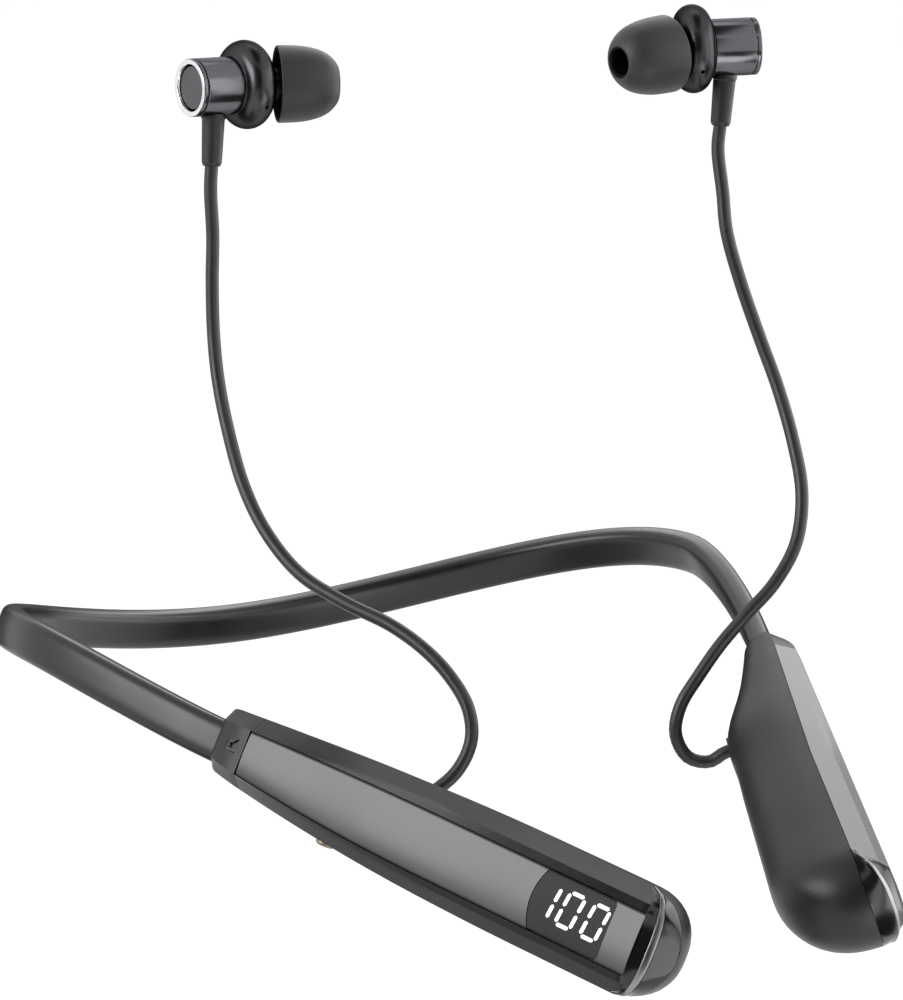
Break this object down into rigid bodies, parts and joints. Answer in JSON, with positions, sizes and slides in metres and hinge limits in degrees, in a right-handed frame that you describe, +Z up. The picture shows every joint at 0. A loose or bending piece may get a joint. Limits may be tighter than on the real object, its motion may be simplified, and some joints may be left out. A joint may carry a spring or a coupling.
{
  "type": "neckband earphones",
  "caption": "Wireless neckband earphones: a flexible silicone band, a slim pod at each end, one with a charge display, and corded in-ear buds.",
  "frame": {"origin": "middle of the band's section at the nape of the neck", "axes": "+X to the wearer's left, +Y backwards, away from the wearer's face, +Z up, in the worn pose"},
  "size_m": [0.1286, 0.1695, 0.1309],
  "materials": {
    "band_silicone": "soft satin",
    "ear_tip_silicone": "soft satin",
    "cord_rubber": "satin",
    "cable_jacket": "matt",
    "satin_plastic": "satin black",
    "gloss_plastic": "gloss dark grey",
    "face_lacquer": "gloss mid grey",
    "gunmetal": "gloss gunmetal",
    "chrome": "polished",
    "smoked_window": "smoked clear",
    "display": "lit segments",
    "circuit_board": "solder mask",
    "battery_foil": "foil pouch",
    "steel": "bright",
    "brass_button": "satin"
  },
  "bodies": {
    "neckband": {"nape_band": "band_silicone", "right_flex_band": "band_silicone", "left_flex_band": "band_silicone", "memory_wire": "steel", "link_cable": "cable_jacket"},
    "right_arm": {"right_arm_band": "band_silicone", "right_collar": "satin_plastic", "right_outer_shell": "gloss_plastic", "right_face_plate": "face_lacquer", "right_trim_ring": "chrome", "right_end_cap": "gloss_plastic", "right_inner_cover": "satin_plastic", "right_cord_grommet": "satin_plastic", "right_bud_barrel": "gunmetal", "right_bud_ring": "chrome", "right_bud_disc": "gunmetal", "right_bud_magnet": "steel", "right_bud_housing": "gunmetal", "right_bud_driver": "steel", "right_nozzle_mesh": "steel", "right_strain_relief": "cord_rubber", "right_cord": "cord_rubber", "display_window": "smoked_window", "display_module": "display", "main_board": "circuit_board", "microphone": "steel"},
    "right_tip": {"right_ear_tip": "ear_tip_silicone"},
    "left_arm": {"left_arm_band": "band_silicone", "left_collar": "satin_plastic", "left_outer_shell": "gloss_plastic", "left_face_plate": "face_lacquer", "left_trim_ring": "chrome", "left_end_cap": "gloss_plastic", "left_inner_cover": "satin_plastic", "left_cord_grommet": "satin_plastic", "left_bud_barrel": "gunmetal", "left_bud_ring": "chrome", "left_bud_disc": "gunmetal", "left_bud_magnet": "steel", "left_bud_housing": "gunmetal", "left_bud_driver": "steel", "left_nozzle_mesh": "steel", "left_strain_relief": "cord_rubber", "left_cord": "cord_rubber", "battery": "battery_foil", "power_board": "circuit_board", "usb_socket": "steel"},
    "left_tip": {"left_ear_tip": "ear_tip_silicone"},
    "multifunction_button": {"multifunction_button": "brass_button"},
    "volume_down_button": {"volume_down_button": "satin_plastic"},
    "volume_up_button": {"volume_up_button": "satin_plastic"}
  },
  "joints": [
    {"name": "right_arm_spread", "type": "hinge", "parent": "neckband", "child": "right_arm", "pos_m": [-0.062, -0.051, 0.0155], "axis": [0, 0, -1], "range_deg": [-3, 25], "stiffness_Nm_per_rad": 0.55, "deforming": ["right_flex_band", "memory_wire", "link_cable"]},
    {"name": "left_arm_spread", "type": "hinge", "parent": "neckband", "child": "left_arm", "pos_m": [0.062, -0.051, 0.0155], "axis": [0, 0, 1], "range_deg": [-3, 25], "stiffness_Nm_per_rad": 0.55, "deforming": ["left_flex_band", "memory_wire", "link_cable"]},
    {"name": "multifunction_button_press", "type": "slide", "parent": "right_arm", "child": "multifunction_button", "axis": [0.4002, -0.0425, 0.9154], "range_m": [0, 0.0004], "stiffness_N_per_m": 500, "springref_m": -0.0004},
    {"name": "volume_down_button_press", "type": "slide", "parent": "right_arm", "child": "volume_down_button", "axis": [0.4002, -0.0425, 0.9154], "range_m": [0, 0.0004], "stiffness_N_per_m": 500, "springref_m": -0.0004},
    {"name": "volume_up_button_press", "type": "slide", "parent": "right_arm", "child": "volume_up_button", "axis": [0.4002, -0.0425, 0.9154], "range_m": [0, 0.0004], "stiffness_N_per_m": 500, "springref_m": -0.0004},
    {"name": "right_tip_pull", "type": "slide", "parent": "right_arm", "child": "right_tip", "axis": [0.9455, -0.3256, -0.0048], "range_m": [0, 0.008]},
    {"name": "left_tip_pull", "type": "slide", "parent": "left_arm", "child": "left_tip", "axis": [-0.9917, -0.0876, -0.0936], "range_m": [0, 0.008]}
  ]
}
